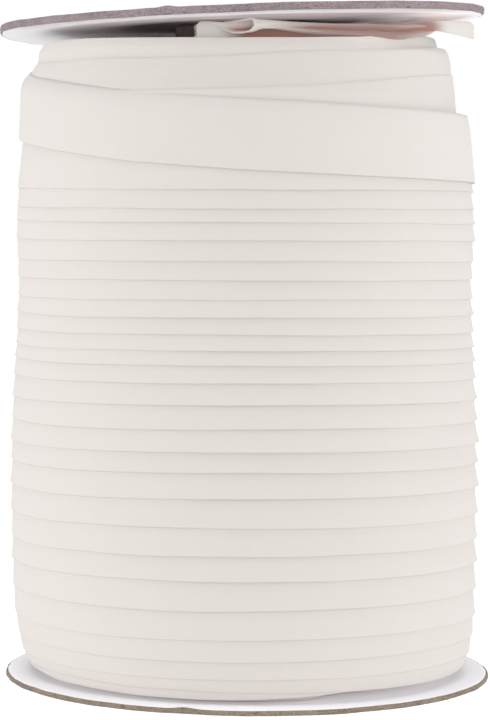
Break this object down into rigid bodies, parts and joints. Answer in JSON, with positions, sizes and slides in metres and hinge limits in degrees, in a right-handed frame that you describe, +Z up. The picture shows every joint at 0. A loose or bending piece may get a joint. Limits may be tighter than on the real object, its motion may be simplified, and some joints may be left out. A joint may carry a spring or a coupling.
{
  "type": "roll of bias tape",
  "caption": "Roll of ivory bias tape wound in lapped turns on a card reel with two round boards, the tape's end tucked under the tilted upper board.",
  "frame": {"origin": "centre of the lower board's underside, on the surface that the roll stands on", "axes": "+Z up along the reel, +X to the right as pictured, -Y towards the side under which the tape's end is tucked"},
  "size_m": [0.1302, 0.128, 0.1767],
  "materials": {
    "board_lower": "greyboard faced with white paper",
    "board_upper": "greyboard faced with white paper",
    "core_tube": "wound card tube",
    "tape": "matt plain weave cut on the bias",
    "tape_end": "matt plain weave cut on the bias"
  },
  "bodies": {
    "root": {"board_lower": "board_lower", "board_upper": "board_upper", "core_tube": "core_tube", "winding": "tape", "tape_end": "tape_end"}
  },
  "joints": []
}
